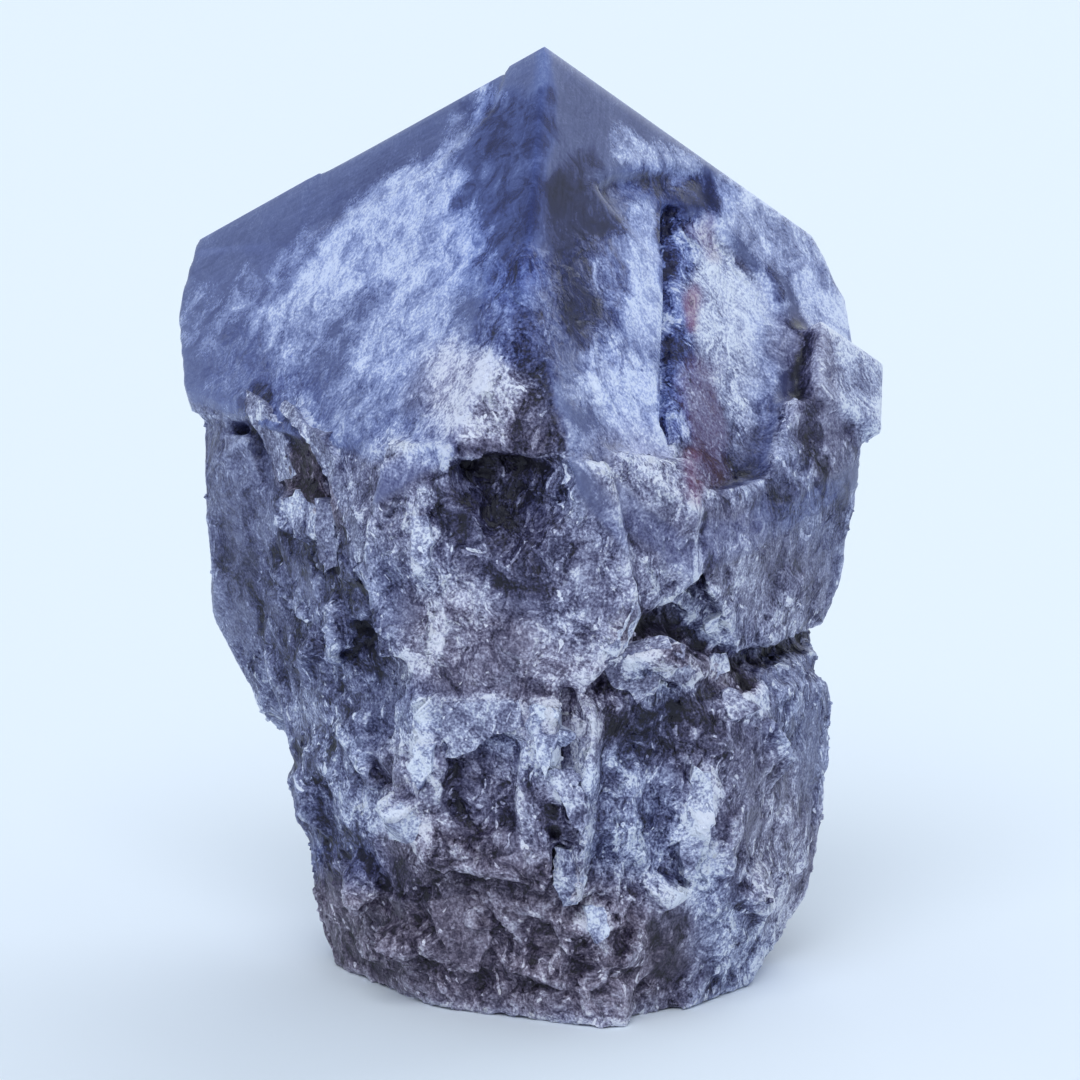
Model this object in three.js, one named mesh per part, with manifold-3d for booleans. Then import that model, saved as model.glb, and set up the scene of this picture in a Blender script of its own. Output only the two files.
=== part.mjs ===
// A hand-sized cluster of purple fluorite: one large cube corner standing point up, smaller cubes grown
// into its flanks in the same direction, and a broken, etched body below that rests on a flat cleavage.
// Millimetres, +Z up. The front, with the sharp ridge, faces -Y. The origin is the middle of the footprint.
import * as THREE from "three";
import { ConvexHull } from "three/addons/math/ConvexHull.js";
import Module from "manifold-3d";

const wasm = await Module();
wasm.setup();

// Driving dimensions
const HEIGHT = 93.3; // base to point
const POINT_X = 0.5; // the point stands almost over the origin
const LEDGE = 57; // height at which the clean faces end over the front of the body
const NOTCH = 33; // height of the notch in the right outline
const TURN = -2; // the whole crystal is turned by this about the vertical, degrees
const LEAN_RIGHT = 3.5; // and leans this far to the right
const LEAN_FRONT = 12; // and this far to the front

// Finish of the broken surfaces, at a roughness of 1
const SPACING = 2.7; // between the corners of the facets
const HACKLE = { height: 1.1, cell: 8 }; // the larger fracture facets
const CHIP = { height: 0.6, cell: 3.4 }; // and the smaller ones on them

const v = (x, y, z) => new THREE.Vector3(x, y, z);

// The three cube edges that meet at the point: down the front, back to the left and back to the right.
const cubeTurn = new THREE.Matrix4()
  .makeRotationZ(THREE.MathUtils.degToRad(TURN))
  .multiply(new THREE.Matrix4().makeRotationY(THREE.MathUtils.degToRad(LEAN_RIGHT)))
  .multiply(new THREE.Matrix4().makeRotationX(THREE.MathUtils.degToRad(LEAN_FRONT)));
const edgeDirection = (azimuth) => {
  const turn = THREE.MathUtils.degToRad(azimuth);
  const out = Math.sqrt(2 / 3);
  return v(out * Math.sin(turn), -out * Math.cos(turn), -Math.sqrt(1 / 3)).applyMatrix4(cubeTurn);
};
const RIDGE_WAY = edgeDirection(0);
const LEFT_WAY = edgeDirection(-120);
const RIGHT_WAY = edgeDirection(120);
const POINT = v(POINT_X, 0, HEIGHT);

// A place by its distances from the point along the ridge, the left edge and the right edge.
// The left face has right = 0, the right face left = 0 and the back face ridge = 0.
const at = (ridge, left, right) =>
  POINT.clone()
    .addScaledVector(RIDGE_WAY, ridge)
    .addScaledVector(LEFT_WAY, left)
    .addScaledVector(RIGHT_WAY, right);

// A number from 0 to 1 that belongs to a whole-numbered cell.
function cellNumber(x, y, z, seed) {
  let h = Math.imul(x, 374761393) ^ Math.imul(y, 668265263) ^ Math.imul(z, 1274126177);
  h ^= Math.imul(seed, 974711);
  h = Math.imul(h ^ (h >>> 13), 1103515245);
  h = Math.imul(h ^ (h >>> 15), 668265263);
  return ((h ^ (h >>> 16)) >>> 0) / 4294967295;
}

// Height of a fractured surface at a place: each cell is a small flat facet tilted its own way.
function facetHeight(place, { height, cell }, seed) {
  const p = place.clone().divideScalar(cell);
  const home = p.clone().floor();
  let nearest = Infinity;
  let level = 0;
  for (let dx = -1; dx <= 1; dx++)
    for (let dy = -1; dy <= 1; dy++)
      for (let dz = -1; dz <= 1; dz++) {
        const c = v(home.x + dx, home.y + dy, home.z + dz);
        const number = (n) => cellNumber(c.x, c.y, c.z, seed + n);
        const middle = v(c.x + number(0), c.y + number(1), c.z + number(2));
        const distance = middle.distanceToSquared(p);
        if (distance > nearest) continue;
        nearest = distance;
        const tilt = v(number(3) - 0.5, number(4) - 0.5, number(5) - 0.5).multiplyScalar(1.6);
        level = p.clone().sub(middle).dot(tilt) + (number(6) - 0.5);
      }
  return height * THREE.MathUtils.clamp(level, -1, 1);
}

// A solid of manifold-3d from points and triangles.
function solidOf(points, faces) {
  const mesh = new wasm.Mesh({
    numProp: 3,
    vertProperties: new Float32Array(points.flatMap((p) => [p.x, p.y, p.z])),
    triVerts: new Uint32Array(faces.flat()),
  });
  return new wasm.Manifold(mesh);
}

// The triangles of the convex hull of some points.
const hullOf = (points) =>
  new ConvexHull().setFromPoints(points).faces.map((face) => {
    const corners = [0, 1, 2].map((n) => face.getEdge(n).tail().point);
    return { corners, normal: face.normal, area: face.area };
  });

// Places spread evenly over a convex block: its corners, then along its edges, then on its faces.
function spread(corners, spacing, seed) {
  const triangles = hullOf(corners);
  const kept = [];
  const keep = (place, normal, gap) => {
    if (kept.every((one) => one.place.distanceToSquared(place) > gap * gap)) kept.push({ place, normal });
  };
  for (const { corners, normal } of triangles) for (const corner of corners) keep(corner, normal, 0.01);
  for (const { corners, normal } of triangles)
    corners.forEach((from, n) => {
      const to = corners[(n + 1) % 3];
      const steps = Math.round(from.distanceTo(to) / spacing);
      for (let i = 1; i < steps; i++) keep(from.clone().lerp(to, i / steps), normal, 0.6 * spacing);
    });
  triangles.forEach(({ corners: [a, b, c], normal, area }, n) => {
    const onFoot = normal.z < -0.999 && a.z < 0.01;
    if (onFoot) return;
    const tries = Math.ceil((9 * area) / (spacing * spacing));
    for (let i = 0; i < tries; i++) {
      let [s, t] = [cellNumber(n, i, 0, seed), cellNumber(n, i, 1, seed)];
      if (s + t > 1) [s, t] = [1 - s, 1 - t];
      const place = a.clone().multiplyScalar(1 - s - t).addScaledVector(b, s).addScaledVector(c, t);
      keep(place, normal, 0.8 * spacing);
    }
  });
  return kept;
}

// The convex block that spans the given corners. With a roughness its faces are broken up into facets:
// the block is covered with places, these are joined up as the hull of a slightly rounder copy of it, and
// each is then moved in or out.
function block(corners, { rough = 0, seed = 1, spacing = SPACING } = {}) {
  const places = rough ? spread(corners, spacing, seed).map((one) => one.place) : corners;
  const middle = corners.reduce((sum, p) => sum.add(p), v(0, 0, 0)).divideScalar(corners.length);
  const reach = Math.max(...corners.map((p) => p.distanceTo(middle)));
  const rounder = places.map((p) => {
    const arm = p.clone().sub(middle);
    const pull = rough ? 0.08 * (arm.length() / reach) ** 2 : 0;
    return middle.clone().addScaledVector(arm, 1 - pull);
  });
  const number = new Map(rounder.map((p, n) => [p, n]));
  const faces = hullOf(rounder).map((triangle) => triangle.corners.map((p) => number.get(p)));
  if (!rough) return solidOf(places, faces);

  const normals = places.map(() => v(0, 0, 0));
  for (const [a, b, c] of faces) {
    const across = places[b].clone().sub(places[a]).cross(places[c].clone().sub(places[a]));
    for (const n of [a, b, c]) normals[n].add(across);
  }
  const moved = places.map((p, n) => {
    if (p.z < 0.05) return p;
    const height = facetHeight(p, HACKLE, seed) + facetHeight(p, CHIP, seed + 40);
    return p.clone().addScaledVector(normals[n].normalize(), rough * height);
  });
  return solidOf(moved, faces);
}

// A cube block in the main crystal's direction, from its upper corner and its three edge lengths.
function cube(corner, ridge, left, right) {
  const fromPoint = corner.clone().sub(POINT);
  const corners = [];
  for (const i of [0, ridge])
    for (const j of [0, left]) for (const k of [0, right]) corners.push(at(i, j, k).add(fromPoint));
  return block(corners);
}

// Points of a horizontal section at one height, from its x and y values.
const section = (z, ...flat) => {
  const ring = [];
  for (let i = 0; i < flat.length; i += 2) ring.push(v(flat[i], flat[i + 1], z));
  return ring;
};

const joined = (solids) => solids.reduce((all, one) => all.add(one));
const without = (solid, cuts) => cuts.reduce((left, cut) => left.subtract(cut), solid);

// The head: a rough column cut off by the three clean faces that meet at the point. Its foot overhangs the
// body in a ledge, and its front ridge is etched away from halfway down.
function head() {
  const column = block(
    [
      ...section(100, -38.4, 28, -38.8, 21, -30, 3, -22, -11, -14, -21, -8.5, -26.5, -2, -30.5, 3, -28.5),
      ...section(100, 11, -18.5, 17, -10, 23, -5, 10, 30, -15, 30, -35, 31),
      ...section(79, 20.4, 11, 19.6, 25),
      ...section(73, 26.6, 4, 27, 12, 26.6, 24),
      ...section(66, 33.2, 7, 33.6, 14, 30, 24),
      ...section(60, 33.8, 7, 33.4, 14),
      ...section(66, -38, 14, -38.4, 22, -34.5, 29),
      v(-35.8, 14, 55),
      v(-30, 4.5, 58.5),
      v(-21, -10.5, 55.5),
      v(-14, -20, 56),
      v(-8.5, -26.5, LEDGE - 0.2),
      v(-2, -29.5, LEDGE + 0.2),
      v(3, -27.8, LEDGE),
      v(11, -19, 55.5),
      v(15, -14.5, 53.5),
      v(26, -3.5, 52),
      v(31.5, 3, 50),
      v(32.3, 12, 50),
      ...section(50, 27, 24, 8, 29, -15, 30, -33, 26),
    ],
    { rough: 0.6, seed: 3 },
  );
  const etchedRidge = block(
    [
      v(-1.4, -19.6, 73),
      v(-3.6, -21.4, 67),
      v(-9.5, -25.2, LEDGE - 1),
      v(-2.5, -27.6, LEDGE - 1),
      v(5.2, -25, LEDGE - 1),
      v(1, -21.5, 67),
      v(-1.4, -48, 76),
      v(-15, -48, 52),
      v(12, -48, 52),
    ],
    { rough: 0.45, seed: 5, spacing: 2.1 },
  );
  return column.intersect(cube(POINT, 100, 100, 100)).subtract(etchedRidge);
}

// The broken column below the head, down to the cleavage it stands on.
function column() {
  return block(
    [
      ...section(LEDGE + 1, -33.5, 14, -29, 7, -22, -3, -13, -17.5, -4, -22, 3, -22, 10, -17),
      ...section(LEDGE + 1, 16, -11, 26, 0, 31.4, 8),
      ...section(LEDGE + 1, 27, 23, 8, 28, -15, 29, -32, 24),
      ...section(40, -29, 12, -24.5, 1, -17, -13.5, -8, -22, 0, -24, 7, -23, 13, -18, 22, -6, 28.5, 8),
      ...section(40, 25, 20, 9, 27.5, -13, 28, -27, 20),
      ...section(20, -25.2, 2, -20, -9, -11, -18.5, -2, -23, 7, -23.5, 16, -17, 23, -8, 26, 4),
      ...section(20, 23, 18, 8, 25.5, -11, 25.5, -23.5, 15),
      ...section(0, -21, 1, -16.5, -6.8, -12.4, -13, -9.8, -16, -3, -18.6, 5.8, -22.8, 8.2, -22.4),
      ...section(0, 14.7, -16.4, 21, -8, 22, 2),
      ...section(0, 17, 13, 6, 19, -8, 18, -18, 11),
    ],
    { rough: 1, seed: 9 },
  );
}

// Broken shoulder behind the left flank, which ends in a point above the base.
function leftShoulder() {
  return block(
    [
      v(-34.8, 14, 55),
      v(-34, 10, 49),
      v(-33.9, 10, 44),
      v(-33.4, 11, 36),
      v(-33.4, 13, 33.5),
      v(-30.4, 12, 30),
      v(-28.8, 12, 24),
      v(-26.4, 14, 21.5),
      v(-23, 6, 26),
      v(-26, 1.5, 40),
      v(-29.5, 3, 54),
      v(-22, 24, 50),
      v(-22, 21, 27),
      v(-31, 22, 50),
      v(-31, 20, 34),
    ],
    { rough: 0.7, seed: 11 },
  );
}

// Flank under the left face, almost flush with it.
function leftFlank() {
  return block(
    [
      v(-29.4, 6, 57.2),
      v(-25, -1.4, 56.6),
      v(-20.4, -8.8, 55.8),
      v(-13.6, -19, 56.4),
      v(-15.4, -19.8, 47),
      v(-16.2, -17.8, 40),
      v(-21, -9.2, 36),
      v(-26.4, -0.4, 38),
      v(-28.8, 4.4, 46),
      v(-18, 4, 55),
      v(-12, -8, 55),
      v(-14, -6, 38),
      v(-20, 4, 38),
    ],
    { rough: 0.4, seed: 13, spacing: 3 },
  );
}

// Cleavage plates that stick out one below the other under the lower edge of the left face. The first four
// are the sharp rims, the last two the faces below them.
function leftPlates() {
  const plates = [
    [v(-25, -2.6, 57.4), v(-22.2, -7.2, 55.2), v(-20.2, -10.6, 52.6), v(-21.6, -7.8, 52.8)],
    [v(-20.8, -9.8, 53.4), v(-18.4, -14.2, 48.8), v(-16.3, -18.6, 42.4), v(-18.2, -13.8, 45.8)],
    [v(-29, 2.8, 58), v(-27, 0.4, 56.8), v(-25.3, -2.2, 54.8), v(-26.6, 0.4, 54.4)],
    [v(-25.6, -1.8, 55.2), v(-24.6, -4, 52.8), v(-24.1, -4.8, 50), v(-25, -2.8, 50.8)],
    [v(-25.6, -3.6, 49.6), v(-22.2, -8.6, 50.2), v(-21.6, -10.2, 45.6), v(-24.6, -6, 45)],
    [v(-20.3, -11.8, 49.4), v(-17.4, -16.8, 49.6), v(-16.8, -18.8, 43.6), v(-19.8, -14, 42.4)],
  ];
  return plates.map((rim) => block([...rim, ...rim.map((p) => v(p.x + 5, p.y + 4.2, p.z - 0.6))]));
}

// Right flank above the notch: a cleaved slab that leans out over the lower block.
function rightFlank() {
  return block(
    [
      v(32.6, 7, 53.5),
      v(32, 7, 46.5),
      v(30.8, 6, 40),
      v(29, 6, 34.2),
      v(27.4, 6, NOTCH - 0.2),
      v(15.5, -15.4, 55),
      v(16, -18, 43),
      v(19, -12, 36),
      v(24, 21, 52),
      v(23, 19, 34),
      v(14, 0, 54),
      v(14, 4, 36),
    ],
    { rough: 0.35, seed: 17 },
  );
}

// Lower right block, below the notch.
function lowerRight() {
  return block(
    [
      v(27, 4, NOTCH - 1.6),
      v(29.7, 5, 28.4),
      v(29.8, 5, 23),
      v(28.4, 4, 18),
      v(27.9, 3, 11),
      v(26.8, 2, 7),
      v(24.6, 0, 4),
      v(22, 0, 0),
      v(20, -8.5, 0),
      v(15, -15.5, 0),
      v(18.5, -17, 13),
      v(18, -18, 27),
      v(21, -14, 31.2),
      v(9, -21, 31),
      v(9, -21, 12),
      v(12, 10, 31),
      v(12, 10, 0),
      v(24, 18, 28),
      v(21, 16, 6),
    ],
    { rough: 0.7, seed: 23 },
  );
}

// Frosted bulge of the middle: a post on each side of the hollow under the ledge, and a boss between them.
function middle() {
  const leftPost = block(
    [
      v(-14.5, -20.5, LEDGE),
      v(-8, -25.5, LEDGE + 0.5),
      v(-8.5, -25, 46),
      v(-17, -19.5, 47),
      v(-15.5, -20, 36),
      v(-9, -23.5, 36),
      v(-12, -8, 57),
      v(-14, -8, 36),
    ],
    { rough: 0.5, seed: 29 },
  );
  const rightPost = block(
    [
      v(7, -23.5, LEDGE - 0.5),
      v(14.5, -17, 54.5),
      v(15.6, -19.4, 50),
      v(15.4, -19, 43.5),
      v(10, -22.5, 40.5),
      v(6, -25.5, 44),
      v(5, -10, 55),
      v(6, -10, 40),
      v(15, -8, 50),
    ],
    { rough: 0.5, seed: 31 },
  );
  const boss = block(
    [
      v(-13, -21, 45),
      v(-3, -24.5, 46.5),
      v(9, -25, 45),
      v(9.5, -25.5, 40.5),
      v(5, -26.4, 34.5),
      v(-4, -25, 33),
      v(-13, -21, 32.5),
      v(-9, -25.2, 56),
      v(-2, -27.8, 56.2),
      v(6.5, -25.4, 56),
      v(-10, -10, 46),
      v(8, -10, 44),
      v(-10, -10, 32),
      v(5, -10, 32),
    ],
    { rough: 0.6, seed: 37 },
  );
  return [leftPost, rightPost, boss];
}

// Squarish block of the lower left, with its sunken face and the upright blades beside it.
function lowerLeft() {
  const frame = block(
    [
      v(-14, -19.5, 31.5),
      v(-11.8, -23, 33),
      v(1.5, -26.5, 33.6),
      v(2.4, -26.5, 20),
      v(0.5, -25.5, 14),
      v(-11, -21.5, 16),
      v(-14.8, -18.5, 21),
      v(-10, -10, 32),
      v(2, -10, 32),
      v(-10, -10, 15),
      v(2, -10, 15),
    ],
    { rough: 0.4, seed: 41, spacing: 2.2 },
  );
  const sunken = block(
    [
      v(-10, -34, 30.4),
      v(-4, -34, 31.6),
      v(-0.4, -34, 30.8),
      v(-0.6, -34, 24),
      v(-1.4, -34, 19.4),
      v(-5, -34, 18),
      v(-9.8, -34, 19),
      v(-11.2, -34, 24.5),
      v(-8.6, -21.8, 28.6),
      v(-4.2, -23, 29.6),
      v(-1.8, -23.8, 28.8),
      v(-2.6, -23.4, 20.6),
      v(-5.2, -22.6, 19.8),
      v(-8.8, -21.4, 21),
    ],
    { rough: 0.6, seed: 42, spacing: 2 },
  );
  const blade = block([
    v(2.9, -24, 34),
    v(4.9, -28, 33),
    v(5.4, -27.6, 30),
    v(4.6, -27.6, 22),
    v(3.4, -26.5, 13.5),
    v(2.6, -24, 13),
    v(6.6, -22, 33),
    v(6.2, -20, 15),
    v(3.5, -18, 33),
    v(3, -18, 14),
  ]);
  const upperBlade = block([
    v(-0.4, -25, 33.8),
    v(0.6, -28.2, 33.4),
    v(1.9, -28, 32.6),
    v(1.2, -27.2, 27.4),
    v(-0.4, -26.6, 28.4),
    v(2.4, -22, 33),
    v(1.2, -22, 28),
    v(-0.6, -22, 30),
  ]);
  const gap = block([
    v(0.2, -34, 26.6),
    v(1.8, -34, 27),
    v(3, -34, 14),
    v(1.2, -34, 13),
    v(0.8, -20.5, 26),
    v(2.2, -20.5, 14.5),
    v(1.4, -20.5, 14),
  ]);
  return { solids: [frame, blade, upperBlade], cuts: [sunken, gap] };
}

// An irregular broken lump about a middle, of the given half sizes.
function lump([x, y, z], [wide, deep, high], seed) {
  const count = 11;
  const corners = [];
  for (let n = 0; n < count; n++) {
    const level = 1 - (2 * n + 1) / count;
    const turn = 2.4 * n + 2 * Math.PI * cellNumber(n, 0, 0, seed);
    const out = Math.sqrt(1 - level * level);
    const size = 0.85 + 0.3 * cellNumber(n, 1, 0, seed);
    const place = v(wide * out * Math.cos(turn), deep * out * Math.sin(turn), high * level);
    corners.push(place.multiplyScalar(size).add(v(x, y, z)));
  }
  return block(corners);
}

// Flakes and lumps that stand proud of the front.
function frontLumps() {
  const lumps = [
    [[-11.6, -23.6, 26.5], [1.8, 1.8, 3]],
    [[-13.9, -20.8, 21.3], [2.8, 2.2, 2.4]],
    [[15, -18.8, 20.5], [2.4, 2, 5.6]],
    [[-16.4, -10.4, 12.4], [4, 4, 4.6]],
    [[-10.6, -14.4, 7], [6.6, 4, 2.8]],
    [[-5, -18.8, 11.4], [3.4, 3, 3.4]],
    [[0.6, -19.8, 5.6], [5, 4, 3.2]],
    [[4.6, -22, 10.4], [3.4, 3, 2.4]],
    [[11.6, -18.6, 13.6], [4.8, 4, 3.4]],
    [[10.4, -23, 36.4], [4.4, 3, 2.4]],
    [[19.2, -17.6, 33.6], [1.6, 2, 2.4]],
    [[-11, -23.8, 48], [1.6, 1.6, 5]],
    [[-12, -23.6, 55], [1.1, 1.4, 2]],
    [[-19, -10.5, 37], [2.6, 3.4, 6]],
    [[-22, -5, 33], [2.6, 3.6, 4.6]],
    [[-22, -5, 20], [3, 4, 6]],
    [[-17.6, -12, 25], [3.4, 4, 4.6]],
    [[22.6, -9.5, 24], [3, 4, 5]],
    [[20.6, -11, 10], [4, 4, 4]],
    [[7.6, -21, 24.6], [2.6, 2.4, 4]],
  ];
  return lumps.map(([middle, size], n) => lump(middle, size, 71 + n));
}

// Lumps that break up the sides and the back.
function sideLumps() {
  const places = spread(
    [
      ...section(56, -32.5, 14, 20, -6, 30, 8, 27, 22.5, 8, 28, -15, 28.5, -31.5, 24),
      ...section(22, -25, 3, 24, -6, 26.5, 4, 22, 18.5, 8, 25.5, -11, 25.5, -23.5, 16),
      ...section(3, -21.5, 1, 21.5, -8, 22.6, 2, 17, 13, 6, 19, -8, 18, -18, 11),
    ],
    { rough: 10, seed: 61 },
  );
  const lumps = [];
  places.forEach(({ place, normal }, n) => {
    const halfSize = (m, most) => 3.4 + (most - 3.4) * cellNumber(n, m, 0, 62);
    const onFront = place.y < 5 && Math.abs(place.x) < 28;
    const onSide = Math.abs(normal.z) < 0.6 && place.z > 6 && !onFront;
    if (!onSide) return;
    const middle = place.clone().addScaledVector(normal, -2.6);
    lumps.push(lump(middle.toArray(), [halfSize(0, 5.8), halfSize(1, 5.4), halfSize(2, 6.4)], 200 + n));
  });
  return lumps;
}

// Smaller crystals half grown out of the right side and the back, all in the direction of the main one.
function smallCrystals() {
  const rightSide = cube(v(28.4, 8, 65.3), 8.8, 14, 10);
  const atBack = [
    [v(3, 18.6, 50), 16],
    [v(-17, 17, 42), 13],
    [v(17, 14.2, 37), 14],
    [v(-5, 16.6, 25), 14],
    [v(10, 16.4, 15), 11],
  ];
  const cubes = atBack.map(([middle, size]) => {
    const half = -size / 2;
    return cube(middle.add(at(half, half, half).sub(POINT)), size, size, size);
  });
  return [rightSide, ...cubes];
}

// Growth steps and the inset of the two front faces.
function faceCuts() {
  const leftStep = block([
    at(-0.5, 5, -3),
    at(-0.5, 5, 0.5),
    at(4.5, 7.1, -3),
    at(4.5, 7, 0.7),
    at(6, 10.5, -3),
    at(6, 10.5, 0.6),
    at(8.4, 15.5, -3),
    at(8, 15, 0.5),
    at(-0.5, 40, -3),
    at(-0.5, 34, 0.1),
    at(8, 40, -3),
    at(8, 34, 0.1),
  ]);
  const chipInEdge = block([
    at(-2, 3.6, 1.5),
    at(1.2, 4.4, -2),
    at(-2, 5.4, 1.5),
    at(-2, 4.6, -3),
    at(1, 5.4, -2),
  ]);
  const rightStep = block([
    at(12.5, -3, 8.4),
    at(12.3, 0.7, 8.6),
    at(9.8, -3, 10.6),
    at(9.8, 0.8, 10.8),
    at(7.6, -3, 14.9),
    at(7.6, 0.8, 15.1),
    at(3.2, -3, 19.4),
    at(3.2, 0.8, 19.6),
    at(1.2, -3, 24),
    at(1.2, 0.6, 24.2),
    at(16, -3, 17.5),
    at(16, 0.5, 17.5),
    at(8, -3, 25),
    at(7, 0.2, 26),
  ]);
  const inset = block(
    [
      at(8, -3, 20),
      at(8.4, 1.2, 21),
      at(5.8, -3, 23),
      at(6.4, 1.1, 23.2),
      at(6.2, -3, 26.5),
      at(6.8, 1, 26.4),
      at(9, -3, 33.5),
      at(9.2, 0.6, 33.1),
      at(12, -3, 38.5),
      at(12.4, 0.5, 36.5),
      at(37, -3, 20),
      at(36.4, 1.3, 21),
      at(40, -3, 25),
      at(39, 1.2, 25.4),
      at(34, -3, 34),
      at(33.5, 0.6, 33),
    ],
    { rough: 0.3, seed: 67, spacing: 2.2 },
  );
  const slot = block([
    at(7.6, -3, 17.6),
    at(8.4, 3.2, 18.9),
    at(6.6, -3, 21.6),
    at(7.6, 1.4, 21.2),
    at(36, -3, 18.9),
    at(34, 3.2, 20),
    at(37.5, -3, 22.6),
    at(36, 1.4, 22.4),
  ]);
  return [leftStep, chipInEdge, rightStep, inset, slot];
}

// Hollows: under the ledge, in the left flank between the plates, and the crevice that runs to the notch.
function hollows() {
  const underLedge = block(
    [
      v(-15, -34, LEDGE - 0.2),
      v(7.5, -34, LEDGE - 0.2),
      v(10, -34, 53),
      v(6, -34, 44),
      v(-2.5, -34, 38),
      v(-11, -34, 42),
      v(-15.5, -34, 50),
      v(-6.5, -21.4, LEDGE - 1),
      v(-1, -21.6, LEDGE - 1),
      v(-3.5, -22.4, 50),
    ],
    { rough: 0.8, seed: 43, spacing: 2 },
  );
  const leftCavity = block([
    v(-31, -8.5, 54.4),
    v(-25.5, -17, 54.2),
    v(-20, -6.4, 53.8),
    v(-27, -13, 44.6),
    v(-24, -18, 44.2),
    v(-18.2, -10.6, 45),
    v(-22.5, -14.6, 41.6),
  ]);
  const leftSlot = block([
    v(-33.5, -6, 52.2),
    v(-28, -13.5, 52),
    v(-23, -3.2, 51.6),
    v(-31.5, -6, 47.2),
    v(-27.5, -11.5, 47),
    v(-23.6, -3, 47.6),
  ]);
  const crevice = block([
    v(7, -34, 41),
    v(7.6, -34, 38.6),
    v(12, -34, 43.2),
    v(19.5, -32, 35.8),
    v(21.5, -30, 31.6),
    v(15, -34, 35.2),
    v(9.5, -17, 39.6),
    v(12.5, -15, 41),
    v(18.5, -11, 35.2),
    v(19, -11, 33),
    v(14.5, -14, 36),
  ]);
  const notch = block([
    v(18, -30, 35.6),
    v(19, -30, 32),
    v(32, 3, 33.8),
    v(32, 3, 31.4),
    v(18.5, -10, NOTCH + 1.6),
    v(18.5, -10, NOTCH),
    v(25.4, 4, NOTCH - 0.1),
    v(25.4, 4, NOTCH - 1),
    v(31, 16, 33.6),
    v(31, 16, 32.2),
  ]);
  const foot = block([
    v(12.6, -19.6, 7.6),
    v(9.2, -19.4, 2.6),
    v(16.4, -16.4, 9.2),
    v(6, -34, -3),
    v(20, -30, 8),
    v(12, -34, 10),
    v(18, -22, -4),
    v(9, -18, -3),
    v(19, -13, 5),
  ]);
  return [underLedge, leftCavity, leftSlot, crevice, notch, foot];
}

// The biggest body of a solid, without the crumbs a cut can leave beside it or inside it.
const mainBody = (solid) =>
  solid.decompose().reduce((big, one) => (one.volume() > big.volume() ? one : big));

// The whole specimen: what has grown together, less its steps and hollows, with what stands in those.
function cluster() {
  const lower = lowerLeft();
  const flanks = [leftShoulder(), leftFlank(), rightFlank(), lowerRight(), ...middle(), ...lower.solids];
  const cuts = [...lower.cuts, ...faceCuts(), ...hollows()];
  const proud = [...leftPlates(), ...frontLumps(), ...sideLumps(), ...smallCrystals()];
  return mainBody(joined([without(joined([head(), column(), ...flanks]), cuts), ...proud]));
}

// The mesh of the finished solid.
function geometryOf(solid) {
  const mesh = solid.getMesh();
  const position = new Float32Array(mesh.numVert * 3);
  for (let i = 0; i < mesh.numVert; i++)
    position.set(mesh.vertProperties.subarray(i * mesh.numProp, i * mesh.numProp + 3), i * 3);
  const geometry = new THREE.BufferGeometry();
  geometry.setAttribute("position", new THREE.BufferAttribute(position, 3));
  geometry.setIndex(new THREE.BufferAttribute(mesh.triVerts, 1));
  geometry.computeVertexNormals();
  return geometry;
}

const fluorite = new THREE.MeshStandardMaterial({
  name: "purple fluorite",
  color: 0x6c6a94,
  roughness: 0.35,
  metalness: 0,
  flatShading: true,
});

const crystal = new THREE.Mesh(geometryOf(cluster()), fluorite);
crystal.name = "fluorite_cluster";

const specimen = new THREE.Group();
specimen.name = "fluorite cluster";
specimen.add(crystal);

export default specimen;
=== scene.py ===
# Purple fluorite specimen, seen from the front and a little above.
# Lengths in the settings are millimetres; Blender works in metres, so they are multiplied by mm.
import math

import bpy
import numpy as np
from mathutils import Euler, Matrix, Vector, noise
from mathutils.bvhtree import BVHTree


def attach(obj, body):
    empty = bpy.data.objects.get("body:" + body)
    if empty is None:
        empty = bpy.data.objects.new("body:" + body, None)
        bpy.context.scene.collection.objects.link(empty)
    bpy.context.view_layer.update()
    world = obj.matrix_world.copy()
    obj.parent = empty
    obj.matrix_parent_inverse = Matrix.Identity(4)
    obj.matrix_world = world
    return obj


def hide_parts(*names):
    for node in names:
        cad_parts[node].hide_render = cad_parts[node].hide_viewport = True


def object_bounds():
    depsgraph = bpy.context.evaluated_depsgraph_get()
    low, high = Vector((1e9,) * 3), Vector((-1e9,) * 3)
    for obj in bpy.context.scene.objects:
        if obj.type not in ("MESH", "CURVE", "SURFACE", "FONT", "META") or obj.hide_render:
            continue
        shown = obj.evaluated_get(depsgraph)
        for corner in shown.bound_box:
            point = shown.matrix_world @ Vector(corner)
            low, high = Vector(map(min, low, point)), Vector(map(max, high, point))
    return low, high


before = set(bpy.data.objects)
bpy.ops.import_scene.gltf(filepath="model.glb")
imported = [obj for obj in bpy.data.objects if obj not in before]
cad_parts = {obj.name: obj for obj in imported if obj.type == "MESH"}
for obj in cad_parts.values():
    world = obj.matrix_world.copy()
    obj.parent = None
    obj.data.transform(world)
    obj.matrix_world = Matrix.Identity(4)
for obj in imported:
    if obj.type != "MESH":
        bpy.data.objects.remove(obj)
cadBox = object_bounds()  # box of the solids, before any look is added
mm = 0.001
noise.seed_set(1)  # noise_vector would otherwise start from the clock and differ from run to run


def linear(hexColour):
    parts = [int(hexColour[i:i + 2], 16) / 255 for i in (1, 3, 5)]
    flat = [c / 12.92 if c <= 0.04045 else ((c + 0.055) / 1.055) ** 2.4 for c in parts]
    return (*flat, 1.0)


def addNode(tree, kind, inputs=None, **settings):
    made = tree.nodes.new(kind)
    for name, value in settings.items():
        setattr(made, name, value)
    for name, value in (inputs or {}).items():
        if isinstance(value, bpy.types.Node):
            value = value.outputs[0]  # a node stands for its first output
        if isinstance(value, bpy.types.NodeSocket):
            tree.links.new(value, made.inputs[name])
        else:
            made.inputs[name].default_value = value
    return made


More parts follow.
